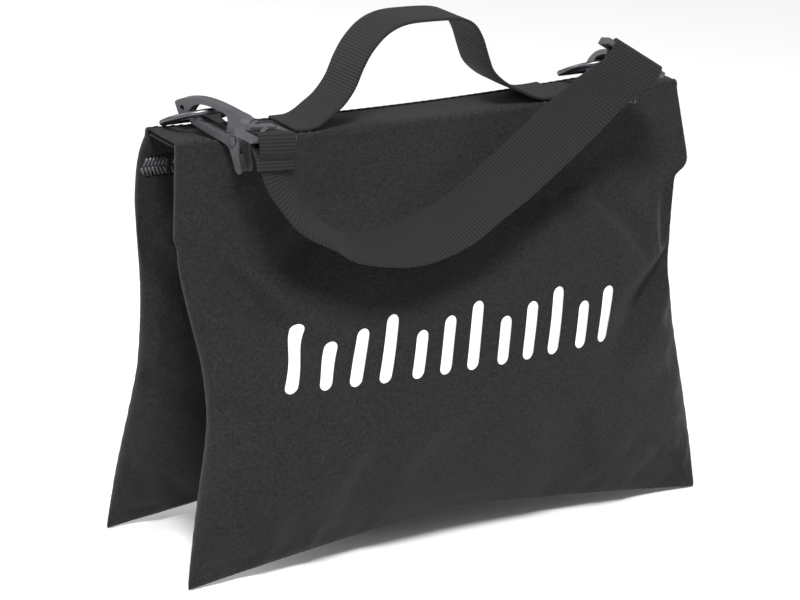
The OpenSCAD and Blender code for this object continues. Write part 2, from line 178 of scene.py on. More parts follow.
lean = math.radians(7.7)
hinge_y, hinge_z = 22.4, 281.8
band_l, band_sag, bottom_arc = 383, 6, 19
cloth_t, fill_half, lap_half, lap_l = 1, 33.5, 1.2, 52
pouch_mid = 0.2 + cloth_t + lap_half
pouch_len = (hinge_z - 0.5) / math.cos(lean)
lap_s = 1 - lap_l / pouch_len
slot_low, slot_high = -27.6, -14.4
zip_reach = 192

# Where the side seams run: distance below the band and half width. Each side pulls in its own way.
side_seams = {
    "front": {
        -1: [(-8, 190.5), (0, 191.5), (12, 192.3), (34, 194), (56, 195.8), (59, 194.6), (62, 193.4),
             (73, 194), (102, 188.4), (139, 180.2), (162, 178), (188, 179.5), (210, 184.5),
             (236, 190), (284, 199.5)],
        1: [(-8, 191), (0, 192), (47, 199.5), (52, 199.5), (57, 196), (60, 189), (90, 184.5),
            (106, 182.5), (122, 181), (161, 183), (218, 191.5), (284, 200.5)]},
    "rear": {
        -1: [(-8, 190.5), (0, 191.5), (9, 195), (23, 196.5), (44, 196), (70, 192.7), (97, 188.2),
             (128, 185.5), (160, 184.5), (175, 185.5), (193, 188), (240, 195), (284, 200)],
        1: [(-8, 191), (0, 192), (47, 198.5), (52, 198), (57, 195), (60, 189.5), (90, 186),
            (122, 183), (161, 183), (218, 191), (284, 200)]}}


def from_pouch(x, y, z, out):
    """A point of a pouch's own frame in the bag; out is -1 for the front pouch and 1 for the rear."""
    inwards = y * math.cos(lean) + z * math.sin(lean)
    return Vector((x, out * (hinge_y - inwards), hinge_z - y * math.sin(lean) + z * math.cos(lean))) * mm


def ease(t):
    t = min(1, max(0, t))
    return t * t * (3 - 2 * t)


def between(pairs, at):
    """A value on the straight lines between pairs."""
    for (a, low), (b, high) in zip(pairs, pairs[1:]):
        if at <= b:
            return low + (high - low) * max(0, at - a) / (b - a)
    return pairs[-1][1]


def seam_z(u):
    return -pouch_len + bottom_arc * (1 - abs(u) ** 1.35)


def edge_z(u):
    return -0.3 - band_sag * (1 - u * u)


def half_width(pairs, deep):
    spread = 5 if deep > 70 else 1
    return sum(between(pairs, deep + spread * k) for k in (-2, -1, 0, 1, 2)) / 5


def half_thick(u, s):
    belly = 0
    if s < lap_s + 0.04:
        belly = math.sin(math.pi * min(1, s / (lap_s + 0.04)) ** 0.66)
    return (cloth_t + lap_half * ease(s * 8) + 0.15
            + (fill_half - lap_half) * belly * (1 - abs(u) ** 2.3) ** 0.62)


# Soft creases, each from a point on the seam inwards: x and z in the pouch frame at both ends,
# how deep it is and how wide
outer_creases = [(-200, -58, -96, -150, 19, 10), (-196, -100, -140, -168, 4, 13),
                 (192, -112, 108, -172, 19, 10), (188, -62, 172, -108, 7, 5), (188, -66, 120, -84, 2.6, 12),
                 (-178, -165, -112, -186, 3, 13), (180, -190, 128, -196, 3, 14),
                 (-70, -272, -96, -206, 2.2, 16), (70, -270, 98, -212, 2.2, 16)]
inner_creases = [(-200, -56, -150, -122, 9, 8), (190, -66, 148, -112, 7, 9),
                 (-186, -170, -118, -190, 4, 12), (180, -170, 118, -190, 4, 12)]


def crease_depth(x, z, creases):
    total = 0
    for x0, z0, x1, z1, deep, wide in creases:
        along = Vector((x1 - x0, z1 - z0))
        reach = Vector((x - x0, z - z0))
        t = reach.dot(along) / along.length_squared
        off = abs(along.x * reach.y - along.y * reach.x) / along.length
        if -0.2 < t < 1.15:
            fade = ease((t + 0.2) / 0.3) * ease((1.15 - t) / 0.9)
            total += deep * fade * math.exp(-(off / (wide * (0.6 + 0.9 * t))) ** 2)
    return total


# The outer panel's top edge wraps over the band: how far it stands above the band's edge, and how
# far it lies in from its own face
wrap = [(1.6, -0.5), (3.2, -0.55), (4.5, -0.1), (5.35, 0.9), (5.75, 2.2), (5.85, 3.6)]


def pouch_shell(side, out):
    """One pouch, outer and inner panel in one closed skin, puffed and wrinkled as cloth."""
    columns = 92
    seams = side_seams[side]
    bands = [(46, seam_z, lambda u: -lap_l - 10), (8, lambda u: -lap_l - 10, lambda u: -lap_l + 4),
             (4, lambda u: -lap_l + 4, lambda u: slot_low), (2, lambda u: slot_low, lambda u: slot_high),
             (3, lambda u: slot_high, edge_z)]
    rows = [(low, high, k / count) for count, low, high in bands for k in range(count)]
    rows.append((edge_z, edge_z, 0))
    bm = bmesh.new()
    hold = bm.verts.layers.deform.verify()
    for face in (-1, 1):
        creases = outer_creases if face < 0 else inner_creases
        count = len(rows) + (len(wrap) if face < 0 else 0)
        for v in bmesh.ops.create_grid(bm, x_segments=columns, y_segments=count - 1, size=1)["verts"]:
            u = math.copysign(1 - (1 - abs(v.co.x)) ** 1.2, v.co.x)
            row = round((v.co.y + 1) / 2 * (count - 1))
            low, high, t = rows[min(row, len(rows) - 1)]
            z = low(u) + (high(u) - low(u)) * t
            s = (z - seam_z(u)) / (edge_z(u) - seam_z(u))
            x = u * half_width(seams[-1 if u < 0 else 1], (1 - s) * pouch_len)
            puff = half_thick(u, s)
            soft = ease(s * 6) * ease((lap_s + 0.02 - s) * 12) * ease((1 - abs(u)) * 9)
            wave = noise.noise(Vector((x / 62, z / 50, 3 * face + out))) * 2.6
            ripple = noise.noise(Vector((x / 34, z / 15, 7 + face + out)))
            ripple = ripple * 3 * math.exp(-(1 - abs(u)) * 9)
            lap_wave = noise.noise(Vector((x / 45, z / 70, 11 + out)))
            lap_wave = lap_wave * 1.1 * ease((1 - s) * 12) * ease((s - lap_s) * 9)
            puff -= crease_depth(x, z, creases) * ease((1 - abs(u)) * 40) * ease((lap_s + 0.05 - s) * 16)
            puff += soft * (wave + ripple)
            lift, turned_in = (0, 0) if row < len(rows) else wrap[row - len(rows)]
            y = pouch_mid + face * max(0.5, puff) + turned_in + lap_wave
            v.co = from_pouch(x, y, z + lift, out)
            v[hold][0] = max(ease((s - lap_s + 0.03) / 0.03), ease((abs(u) - 0.965) / 0.03),
                             ease((0.02 - s) / 0.012))
    borders = [e for e in bm.edges if e.is_boundary]
    bmesh.ops.bridge_loops(bm, edges=borders)
    bmesh.ops.recalc_face_normals(bm, faces=bm.faces)
    shell = mesh_piece(f"{side}_pouch_shell", bm, oxford)
    shell.vertex_groups.new(name="hold")
    rest = [v.co.copy() for v in shell.data.vertices]
    cloth = shell.modifiers.new("cloth", "CLOTH")
    cloth.settings.use_pressure = True
    cloth.settings.uniform_pressure_force = 2.2
    cloth.settings.effector_weights.gravity = 0
    cloth.settings.vertex_group_mass = "hold"
    cloth.settings.shrink_min = -0.03
    cloth.settings.bending_stiffness = 1
    cloth.settings.quality = 4
    frames = 16
    cloth.point_cache.frame_end = frames
    for step in range(1, frames + 1):
        scene.frame_set(step)
    settled = shell.evaluated_get(bpy.context.evaluated_depsgraph_get())
    moved = [v.co.copy() for v in settled.data.vertices]
    shell.modifiers.clear()
    scene.frame_set(1)
    reach = 3 * mm
    for v, start, end in zip(shell.data.vertices, rest, moved):
        shift = end - start
        v.co = start + shift * min(1, reach / max(shift.length, 1e-9))
    # The opening for the zip, in the inner panel only
    bm = bmesh.new()
    bm.from_mesh(shell.data)
    middle = from_pouch(0, pouch_mid, (slot_low + slot_high) / 2, out) / mm
    cut = []
    for f in bm.faces:
        c = f.calc_center_median() / mm
        inside = out * (middle.y - c.y) > 1
        if inside and abs(c.z - middle.z) < 5 and abs(c.x) < zip_reach:
            cut.append(f)
    bmesh.ops.delete(bm, geom=cut, context="FACES")
    bm.to_mesh(shell.data)
    bm.free()
    wall = shell.modifiers.new("cloth thickness", "SOLIDIFY")
    wall.thickness, wall.offset = 0.9 * mm, -1
    smooth = shell.modifiers.new("smooth cloth", "SUBSURF")
    smooth.levels = smooth.render_levels = 1
    return shell


pouches = {}
for side, out in (("front", -1), ("rear", 1)):
    shell = pouch_shell(side, out)
    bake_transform(shell)
    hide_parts(f"{side}_outer_panel", f"{side}_inner_panel", f"{side}_inner_strip",
                f"{side}_sand_bag")
    pouches[side] = shell

# ---- Band ----
# The flat top between the pouches: oxford folded over a webbing core, with its long edges rolled
# down over the tops of the laps and stitched through with a double row of black thread.

band_top_z = 287


def dip(x):
    return band_sag * (1 - (2 * x / band_l) ** 2)


# Half the band's cross-section: distance from the middle, and height under the top of the band
band_profile = [(0, -0.9), (4, -0.8), (8, -0.6), (12, -0.4), (15.2, -0.3), (17, -0.45), (18.2, -0.9),
                (19.4, -1.2), (20.6, -1.25), (21.4, -1.5), (21.8, -2.4), (21.9, -3.4), (21.9, -4.4)]
bm = bmesh.new()
columns, rows = 96, 2 * len(band_profile) - 2
for v in bmesh.ops.create_grid(bm, x_segments=columns, y_segments=rows, size=1)["verts"]:
    k = round((v.co.y + 1) / 2 * rows) - (len(band_profile) - 1)
    out, low = band_profile[abs(k)]
    x = v.co.x * band_l / 2
    soft = 0.5 * noise.noise(Vector((x / 34, k / 5, 1))) * ease((len(band_profile) - abs(k)) / 4)
    pucker = 0.22 * math.sin(x * 1.05) * math.exp(-((abs(k) - 5.5) / 1.6) ** 2)
    v.co = Vector((x, math.copysign(out, k) if k else 0, band_top_z - dip(x) + low + soft + pucker)) * mm
bmesh.ops.recalc_face_normals(bm, faces=bm.faces)
band = mesh_piece("band_cover", bm, oxford)
wall = band.modifiers.new("cloth thickness", "SOLIDIFY")
wall.thickness, wall.offset = 0.9 * mm, -1
smooth = band.modifiers.new("smooth cloth", "SUBSURF")
smooth.levels = smooth.render_levels = 1
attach(band, "saddle")
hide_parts("band_top")

# ---- Webbing ----
# Black nylon webbing, 38 mm wide: the band's core, the ring tabs, the handle and the shoulder
# strap. Its crosswise ribs and its warp ends are drawn two to three times too wide, to show.

ribbed, tree, shader = material("black nylon webbing")
shader.inputs["Roughness"].default_value = 0.75
shader.inputs["Specular IOR Level"].default_value = 0.3
shader.inputs["Sheen Weight"].default_value = 0.03
webbing_w = 38
rib_pitch, end_pitch = 2.2 * mm, 1.6 * mm
turns = math.pi / 10                       # one wave of a wave texture at scale 1, in metres
along = add(tree, "ShaderNodeUVMap", uv_map="webbing").outputs["UV"]
ribs = add(tree, "ShaderNodeTexWave", {"Vector": along, "Scale": turns / rib_pitch, "Distortion": 0.35,
                                       "Detail": 1, "Detail Scale": 2}, bands_direction="X")
ends = add(tree, "ShaderNodeTexWave", {"Vector": along, "Scale": turns / end_pitch, "Distortion": 0.3,
                                       "Detail": 1, "Detail Scale": 2}, bands_direction="Y")
fibre = add(tree, "ShaderNodeTexNoise", {"Vector": along, "Scale": 1400, "Detail": 2})
rows_up = add(tree, "ShaderNodeMath", {0: ribs.outputs["Fac"], 1: 0.72}, operation="MULTIPLY")
ends_up = add(tree, "ShaderNodeMath", {0: ends.outputs["Fac"], 1: 0.28, 2: rows_up.outputs["Value"]},
              operation="MULTIPLY_ADD")
height = add(tree, "ShaderNodeMath", {0: fibre.outputs["Fac"], 1: 0.22, 2: ends_up.outputs["Value"]},
             operation="MULTIPLY_ADD")
colour = add(tree, "ShaderNodeMix", {"Factor": height.outputs["Value"], "A": linear("#040404"),
                                     "B": linear("#252527")}, data_type="RGBA")
bump = add(tree, "ShaderNodeBump", {"Height": height.outputs["Value"], "Strength": 1.0,
                                    "Distance": 0.7 * mm})
tree.links.new(colour.outputs["Result"], shader.inputs["Base Color"])
tree.links.new(bump.outputs["Normal"], shader.inputs["Normal"])


def cad_looks(node, look):
    """Gives a CAD node that keeps its shape a finish of its own."""
    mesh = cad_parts[node].data
    mesh.materials.clear()
    mesh.materials.append(look)


def curve_at(points, i, t):
    """Catmull-Rom between point i and the next."""
    a, b, c, d = (points[min(len(points) - 1, max(0, i + k))] for k in (-1, 0, 1, 2))
    return 0.5 * (2 * b + (c - a) * t + (2 * a - 5 * b + 4 * c - d) * t * t
                  + (3 * b - a - 3 * c + d) * t ** 3)


def curve(points, steps):
    points = [Vector(p) for p in points]
    run = [curve_at(points, i, k / steps) for i in range(len(points) - 1) for k in range(steps)]
    return run + [points[-1]]


def webbing(name, run, sides, wide, thick=2.0):
    """A flat strap along a run of points in mm; sides point across it. Its UVs are in metres."""
    bm = bmesh.new()
    across, n = 8, len(run)
    uv = bm.loops.layers.uv.new("webbing")
    spot = {}
    travelled = [0]
    for a, b in zip(run, run[1:]):
        travelled.append(travelled[-1] + (b - a).length)
    for v in bmesh.ops.create_grid(bm, x_segments=n - 1, y_segments=across, size=1)["verts"]:
        i = round((v.co.x + 1) / 2 * (n - 1))
        w = v.co.y * wide / 2
        spot[v] = (travelled[i] * mm, w * mm)
        v.co = (run[i] + sides[i] * w) * mm
    for face in bm.faces:
        for loop in face.loops:
            loop[uv].uv = spot[loop.vert]
    piece = mesh_piece(name, bm, ribbed)
    wall = piece.modifiers.new("webbing thickness", "SOLIDIFY")
    wall.thickness, wall.offset = thick * mm, 0
    edge = piece.modifiers.new("woven edge", "BEVEL")
    edge.width, edge.segments = 0.6 * mm, 2
    edge.limit_method, edge.angle_limit = "ANGLE", math.radians(50)
    return piece, travelled[-1]


for name, low, wide, inset, thick, look in (("band_core", 2.6, 39.6, 2.2, 1.7, ribbed),
                                            ("band_lining", 4.2, 32.6, 0.6, 1.1, oxford)):
    ends = band_l / 2 - inset
    run = [Vector((x, 0, band_top_z - dip(x) - low)) for x in [ends * (k / 24 - 1) for k in range(49)]]
    layer, _ = webbing(f"{name}_layer", run, [Vector((0, 1, 0))] * len(run), wide, thick)
    layer.data.materials[0] = look
    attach(layer, "saddle")
    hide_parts(name)

# Each ring's tab: a short strip folded round the straight bar of the ring, both ends sewn down
ring_y, ring_z, tab_r = 18, 289, 3
for hand, x in (("left", -151), ("right", 151)):
    low = band_top_z - dip(x) + 1.1
    run = [Vector((x, y, low + 0.2)) for y in (-1, 4, 9, 13)]
    for k in range(10):
        turn = math.radians(-90 + 27 * k)
        run.append(Vector((x, ring_y + tab_r * math.cos(turn), ring_z + tab_r * math.sin(turn))))
    run += [Vector((x, y, low + lift)) for y, lift in ((12, 3.4), (7, 2.4), (1, 2.2))]
    tab, _ = webbing(f"{hand}_ring_loop", run, [Vector((1, 0, 0))] * len(run), 18, 1.5)
    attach(tab, "saddle")
    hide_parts(f"{hand}_ring_tab")

# ---- Handle ----
# One length of webbing, folded flat and sewn to the band at both feet. It stands in an arch that
# has been pulled a little to the left, and its right leg kinks outwards above the foot.

handle_line = [(-104, 283.8), (-98, 283.7), (-92, 283.9), (-86, 286), (-79, 290.5), (-70, 297),
               (-62, 307), (-56, 320), (-49, 331), (-38, 341), (-24, 346), (-4, 346.4), (16, 345),
               (27, 340.5), (34, 331), (39, 318), (44, 307), (54, 298), (66, 291.5), (75, 287),
               (83, 284.2), (91, 283.6), (98, 283.8), (104, 284.1)]
run = curve([(x, 0, z) for x, z in handle_line], 5)
handle, handle_l = webbing("handle_strap", run, [Vector((0, 1, 0))] * len(run), webbing_w)
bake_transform(handle)
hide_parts("handle_webbing", "left_handle_foot", "right_handle_foot")

# ---- Shoulder strap ----
# A second length of the same webbing. It leaves the left clip downwards, lies in a loose bow across
# the front, and climbs to the right clip, where it folds over the clip's bar.

left_clip_at, left_clip_dir = Vector((-142, -56, 292.6)), Vector((-28, 68, 16.5))
right_clip_at, right_clip_dir = Vector((128, -60, 317)), Vector((15, 73, -17))
left_bow_roll, right_bow_roll = 11, 33


def bar_way(direction, roll):
    """The way the bar of a strap bow points."""
    flat = Vector((-direction.y, direction.x, 0)).normalized()
    turned = math.radians(roll)
    return flat * math.cos(turned) + direction.normalized().cross(flat) * math.sin(turned)


# The strap between its two folds, and the way its width points at each of these places
strap_route = [(-140, -57, 278), (-134, -58, 262), (-127, -62, 248), (-117, -64, 236),
               (-104, -66, 226), (-90, -67, 218), (-69, -67, 214), (-42, -67, 215), (-12, -65, 223),
               (13, -62, 236), (41, -59, 252), (75, -57, 275), (104, -58, 297)]
strap_across = [(8, 5, -2), (8, 5, -1), (8, 6, -1), (7, 7, -1), (6, 8, -1), (5, 9, 1), (3, 9, 3),
                (1, 8, 5), (-1, 8, 6), (-2, 8, 6), (-4, 6, 7), (-4, 5, 7), (-5, 4, 7)]


def folded_end(bar, way, face):
    """The strap's end: up to the bar on its outer face, round it, and back along its inner face."""
    round_bar, tail, doubled = 3.7, 20, 2.15
    run = [bar + face * round_bar - way * 9]
    for k in range(11):
        turn = math.radians(18 * k)
        run.append(bar + (face * math.cos(turn) + way * math.sin(turn)) * round_bar)
    for k in range(1, 7):
        gap = round_bar * (1 - 2 * ease(k / 5)) + doubled * ease(k / 5)
        run.append(bar - face * gap - way * (tail * k / 6))
    return run


left_bar, right_bar = bar_way(left_clip_dir, left_bow_roll), bar_way(right_clip_dir, right_bow_roll)
steps = 8
middle = curve(strap_route, steps)
left_way = (left_clip_at - Vector(strap_route[1])).normalized()
left_way = (left_way - left_way.dot(left_bar) * left_bar).normalized()
right_way = (right_clip_at - Vector(strap_route[-2])).normalized()
right_way = (right_way - right_way.dot(right_bar) * right_bar).normalized()
left_face = left_way.cross(left_bar)
left_face = left_face if left_face.y < 0 else -left_face
right_face = right_way.cross(right_bar)
right_face = right_face if right_face.y - right_face.z < 0 else -right_face
left_end = folded_end(left_clip_at, left_way, left_face)
right_end = folded_end(right_clip_at, right_way, right_face)
run = left_end[::-1] + middle + right_end
wide = curve([-9.5 * left_bar, *strap_across, 9.5 * right_bar], steps)
wide = wide[steps:steps + len(middle)]
wide = [-9.5 * left_bar] * len(left_end) + wide + [9.5 * right_bar] * len(right_end)
sides = []
for i in range(len(run)):
    way = (run[min(len(run) - 1, i + 1)] - run[max(0, i - 1)]).normalized()
    inside = min(i - len(left_end), len(run) - len(right_end) - 1 - i)
    blend = ease(inside / 14)
    bar = -left_bar if i < len(run) / 2 else right_bar
    across = wide[i].normalized() * blend + bar * (1 - blend)
    sides.append((across - blend * across.dot(way) * way).normalized())
strap, strap_l = webbing("shoulder_strap_webbing", run, sides, webbing_w)
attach(strap, "strap")
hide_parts("shoulder_strap", "left_strap_end", "right_strap_end")

# ---- Clips and rings ----
# Two trigger clips moulded in glass-filled nylon, with a sprung thumb gate on a steel rivet, and
# two D-rings of black-nickelled wire. The moulded parts have soft edges all round.

nylon, tree, shader = material("moulded grey nylon")
shader.inputs["Roughness"].default_value = 0.42
shader.inputs["Specular IOR Level"].default_value = 0.5
where = add(tree, "ShaderNodeTexCoord").outputs["Object"]
flow = add(tree, "ShaderNodeTexNoise", {"Vector": where, "Scale": 160, "Detail": 3})
pits = add(tree, "ShaderNodeTexNoise", {"Vector": where, "Scale": 2600, "Detail": 2})
colour = add(tree, "ShaderNodeMix", {"Factor": flow.outputs["Fac"], "A": linear("#37383a"),
                                     "B": linear("#505155")}, data_type="RGBA")
bump = add(tree, "ShaderNodeBump", {"Height": pits.outputs["Fac"], "Strength": 0.25, "Distance": 0.1 * mm})
tree.links.new(colour.outputs["Result"], shader.inputs["Base Color"])
tree.links.new(bump.outputs["Normal"], shader.inputs["Normal"])

nickel, tree, shader = material("black nickel plate")
shader.inputs["Metallic"].default_value = 1
where = add(tree, "ShaderNodeTexCoord").outputs["Object"]
wear = add(tree, "ShaderNodeTexNoise", {"Vector": where, "Scale": 420, "Detail": 4})
colour = add(tree, "ShaderNodeMix", {"Factor": wear.outputs["Fac"], "A": linear("#515256"),
                                     "B": linear("#77787c")}, data_type="RGBA")
rough = add(tree, "ShaderNodeMapRange", {"Value": wear.outputs["Fac"], "To Min": 0.26, "To Max": 0.46})
tree.links.new(colour.outputs["Result"], shader.inputs["Base Color"])
tree.links.new(rough.outputs["Result"], shader.inputs["Roughness"])


def softened(node, look, radius, body):
    """A CAD node's own shape with its edges rounded over, in place of the node."""
    bm = bmesh.new()
    bm.from_mesh(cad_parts[node].data)
    bmesh.ops.remove_doubles(bm, verts=bm.verts, dist=0.004 * mm)
    bmesh.ops.dissolve_limit(bm, angle_limit=math.radians(2), verts=bm.verts, edges=bm.edges)
    piece = mesh_piece(f"{node}_moulding", bm, look)
    edge = piece.modifiers.new("soft edges", "BEVEL")
    edge.width, edge.segments = radius * mm, 2
    edge.limit_method, edge.angle_limit = "ANGLE", math.radians(34)
    edge.harden_normals = True
    edge.use_clamp_overlap = True
    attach(piece, body)
    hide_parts(node)


def clip_frame(at, direction, roll):
    """X from the strap's bar to the nose, Y along the bar, Z towards the gate."""
    flat = math.hypot(direction.x, direction.y)
    return (Matrix.Translation(at * mm)
            @ Matrix.Rotation(math.atan2(direction.y, direction.x), 4, "Z")
            @ Matrix.Rotation(-math.atan2(direction.z, flat), 4, "Y")
            @ Matrix.Rotation(math.radians(roll), 4, "X"))


def rounded(points, steps=3):
    """A smooth closed line through points."""
    n = len(points)
    ring = [Vector(points[k % n]) for k in range(-1, n + 2)]
    return [curve_at(ring, i, k / steps) for i in range(1, n + 1) for k in range(steps)]


def plate(bm, loops, low, high):
    """A flat moulded plate: its outline and its holes in X and Z, between two heights in Y."""
    made = bmesh.new()
    for loop in loops:
        verts = [made.verts.new((x * mm, low * mm, z * mm)) for x, z in loop]
        for a, b in zip(verts, verts[1:] + verts[:1]):
            made.edges.new((a, b))
    bmesh.ops.triangle_fill(made, use_beauty=True, use_dissolve=False, edges=made.edges)
    grown = bmesh.ops.extrude_face_region(made, geom=made.faces[:])["geom"]
    bmesh.ops.translate(made, verts=[v for v in grown if isinstance(v, bmesh.types.BMVert)],
                        vec=(0, (high - low) * mm, 0))
    bmesh.ops.recalc_face_normals(made, faces=made.faces)
    part = bpy.data.meshes.new("plate")
    made.to_mesh(part)
    made.free()
    bm.from_mesh(part)
    bpy.data.meshes.remove(part)


def barrel(bm, start, end, radius, at=(0, 0), axis="X"):
    """A round boss along X, or a pin along Y."""
    turn = Matrix.Rotation(math.radians(90), 4, "Y" if axis == "X" else "X")
    half_way = (start + end) / 2
    centre = Vector((half_way, *at)) if axis == "X" else Vector((at[0], half_way, at[1]))
    bmesh.ops.create_cone(bm, cap_ends=True, segments=28, radius1=radius * mm, radius2=radius * mm,
                          depth=(end - start) * mm, matrix=Matrix.Translation(centre * mm) @ turn)


def circle(x, z, radius):
    """A round hole in a plate."""
    count = 18
    turns_round = [2 * math.pi * k / count for k in range(count)]
    return [(x + radius * math.cos(turn), z + radius * math.sin(turn)) for turn in turns_round]


def moulded(name, bm, place, look, radius, body, slot_name, *nodes):
    """A moulding in a clip's frame, with its sharp edges rounded over."""
    bm.transform(place)
    piece = mesh_piece(name, bm, look)
    edge = piece.modifiers.new("soft edges", "BEVEL")
    edge.width, edge.segments = radius * mm, 3
    edge.limit_method, edge.angle_limit = "ANGLE", math.radians(40)
    edge.harden_normals = True
    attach(piece, body)
    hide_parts(*nodes)


rivet = (25.6, 11)
# Outlines in the clip's X and Z: the hook with its shank, one cheek of the gate with its lever, and
# the two webs that join the cheeks
hook = rounded([(20.6, -5), (30, -5.6), (40, -5.7), (50, -5.1), (60, -3.2), (68, -0.2), (73.6, 3),
                (77, 6.2), (75.4, 9), (72.8, 12.4), (70, 14.4), (66.6, 14.2), (65, 12), (64.6, 8),
                (62.6, 3.8), (58.6, 0.6), (52, -1.3), (43, -2.1), (36.4, -1.6), (33.8, 2), (33.2, 9),
                (30.6, 13.6), (26, 15.2), (22, 13.6), (20.6, 9), (21, 3)])
cheek = rounded([(61.4, 10.9), (61.4, 12.2), (58.6, 13.8), (50, 14.6), (40, 15.2), (32, 15.4),
                 (28, 16.6), (25, 20), (21.8, 25), (19.2, 29), (16.6, 30.6), (14.6, 29.4), (14.8, 26.6),
                 (17.6, 20.6), (20, 15), (20.8, 10.6), (22.6, 7.4), (25.8, 6.6), (29, 8), (34, 9.9),
                 (46, 9.9), (58, 9.9)])
gate_web = rounded([(36, 12.4), (48, 12.2), (59, 11.4), (60.4, 12.4), (58, 13.5), (48, 14.3), (36, 14.8)])
lever_web = rounded([(21.2, 20.4), (18.4, 25.6), (16, 29), (17.2, 29.8), (20, 26.4), (23, 21.4)])
for hand, at, direction in (("left", left_clip_at, left_clip_dir),
                            ("right", right_clip_at, right_clip_dir)):
    place = clip_frame(at, direction, 180)
    bm = bmesh.new()
    plate(bm, [hook, circle(70.6, 8, 1.8)], -3.9, 3.9)
    # The swivel: a flange inside the strap bow, its pin, and two collars outside
    for start, end, radius in ((5.5, 8.6, 4.5), (6, 16, 2.9), (14.4, 17, 5.6), (17.2, 23.8, 6.3)):
        barrel(bm, start, end, radius)
    moulded(f"{hand}_clip_hook", bm, place, nylon, 0.9, f"{hand}_clip", "clip_plastic",
            f"{hand}_clip_body")
    bm = bmesh.new()
    plate(bm, [cheek, circle(*rivet, 2)], -5.9, -4.4)
    plate(bm, [cheek, circle(*rivet, 2)], 4.4, 5.9)
    plate(bm, [gate_web], -4.6, 4.6)
    plate(bm, [lever_web], -4.6, 4.6)
    moulded(f"{hand}_thumb_gate", bm, place, nylon, 0.5, f"{hand}_gate", "clip_plastic",
            f"{hand}_clip_gate")
    bm = bmesh.new()
    for start, end, radius in ((-7.3, -6.1, 3), (-7.5, -7.2, 1.5), (-6.2, 6.2, 1.75), (6.1, 7.3, 3)):
        barrel(bm, start, end, radius, rivet, "Y")
    moulded(f"{hand}_steel_rivet", bm, place, nickel, 0.35, f"{hand}_clip", "ring_metal",
            f"{hand}_clip_rivet")
    softened(f"{hand}_strap_bow", nylon, 0.9, "strap")
    cad_looks(f"{hand}_d_ring", nickel)
    cad_looks(f"{hand}_clip_spring", nickel)

# ---- Zips ----
# One long coil zip in the inner panel of each pouch: woven tapes, a coarse nylon coil, and a
# black-enamelled slider with a flat pull.

tape_cloth, tree, shader = material("black zip tape")
shader.inputs["Roughness"].default_value = 0.8
where = add(tree, "ShaderNodeTexCoord").outputs["Object"]
twill = add(tree, "ShaderNodeTexWave", {"Vector": where, "Scale": turns / (1.2 * mm), "Distortion": 0.5,
                                        "Detail": 1}, bands_direction="DIAGONAL")
colour = add(tree, "ShaderNodeMix", {"Factor": twill.outputs["Fac"], "A": linear("#19191b"),
                                     "B": linear("#28282a")}, data_type="RGBA")
bump = add(tree, "ShaderNodeBump", {"Height": twill.outputs["Fac"], "Strength": 0.4, "Distance": 0.2 * mm})
tree.links.new(colour.outputs["Result"], shader.inputs["Base Color"])
tree.links.new(bump.outputs["Normal"], shader.inputs["Normal"])

coil_nylon, tree, shader = material("black nylon coil")
shader.inputs["Roughness"].default_value = 0.34
where = add(tree, "ShaderNodeTexCoord").outputs["Object"]
drawn = add(tree, "ShaderNodeTexNoise", {"Vector": where, "Scale": 900, "Detail": 2})
colour = add(tree, "ShaderNodeMix", {"Factor": drawn.outputs["Fac"], "A": linear("#38383b"),
                                     "B": linear("#5a5a5e")}, data_type="RGBA")
tree.links.new(colour.outputs["Result"], shader.inputs["Base Color"])

enamel, tree, shader = material("black zip enamel")
shader.inputs["Roughness"].default_value = 0.3
shader.inputs["Coat Weight"].default_value = 0.3
where = add(tree, "ShaderNodeTexCoord").outputs["Object"]
peel = add(tree, "ShaderNodeTexNoise", {"Vector": where, "Scale": 700, "Detail": 3})
colour = add(tree, "ShaderNodeMix", {"Factor": peel.outputs["Fac"], "A": linear("#1d1d1f"),
                                     "B": linear("#2f2f32")}, data_type="RGBA")
bump = add(tree, "ShaderNodeBump", {"Height": peel.outputs["Fac"], "Strength": 0.1, "Distance": 0.1 * mm})
tree.links.new(colour.outputs["Result"], shader.inputs["Base Color"])
tree.links.new(bump.outputs["Normal"], shader.inputs["Normal"])

tape_y = pouch_mid + lap_half - 0.6
coil_pitch, coil_h, zip_z = 2.6, 12.4, -21
coil_from, coil_to = {-1: -187, 1: -193}, 153


def zip_chain(name, out):
    """Two rows of slanted coil turns that meet in the middle as chevrons."""
    bm = bmesh.new()
    for i in range(int((coil_to - coil_from[out]) / coil_pitch)):
        for hand in (-1, 1):
            x = coil_from[out] + (i + (0.5 if hand > 0 else 0)) * coil_pitch
            turn = bmesh.ops.create_cone(bm, cap_ends=True, segments=6, radius1=0.92, radius2=1.1,
                                         depth=coil_h * 0.52)["verts"]
            tilt = Matrix.Rotation(math.radians(26 * hand), 4, "Y")
            for v in turn:
                high = v.co.z / (coil_h * 0.26)
                v.co.y += 1.1 * (1 - high * high)
                p = tilt @ v.co + Vector((x, tape_y + 1.5, zip_z + hand * coil_h * 0.25))
                v.co = from_pouch(p.x, p.y, p.z, out)
    bmesh.ops.recalc_face_normals(bm, faces=bm.faces)
    return mesh_piece(name, bm, coil_nylon)


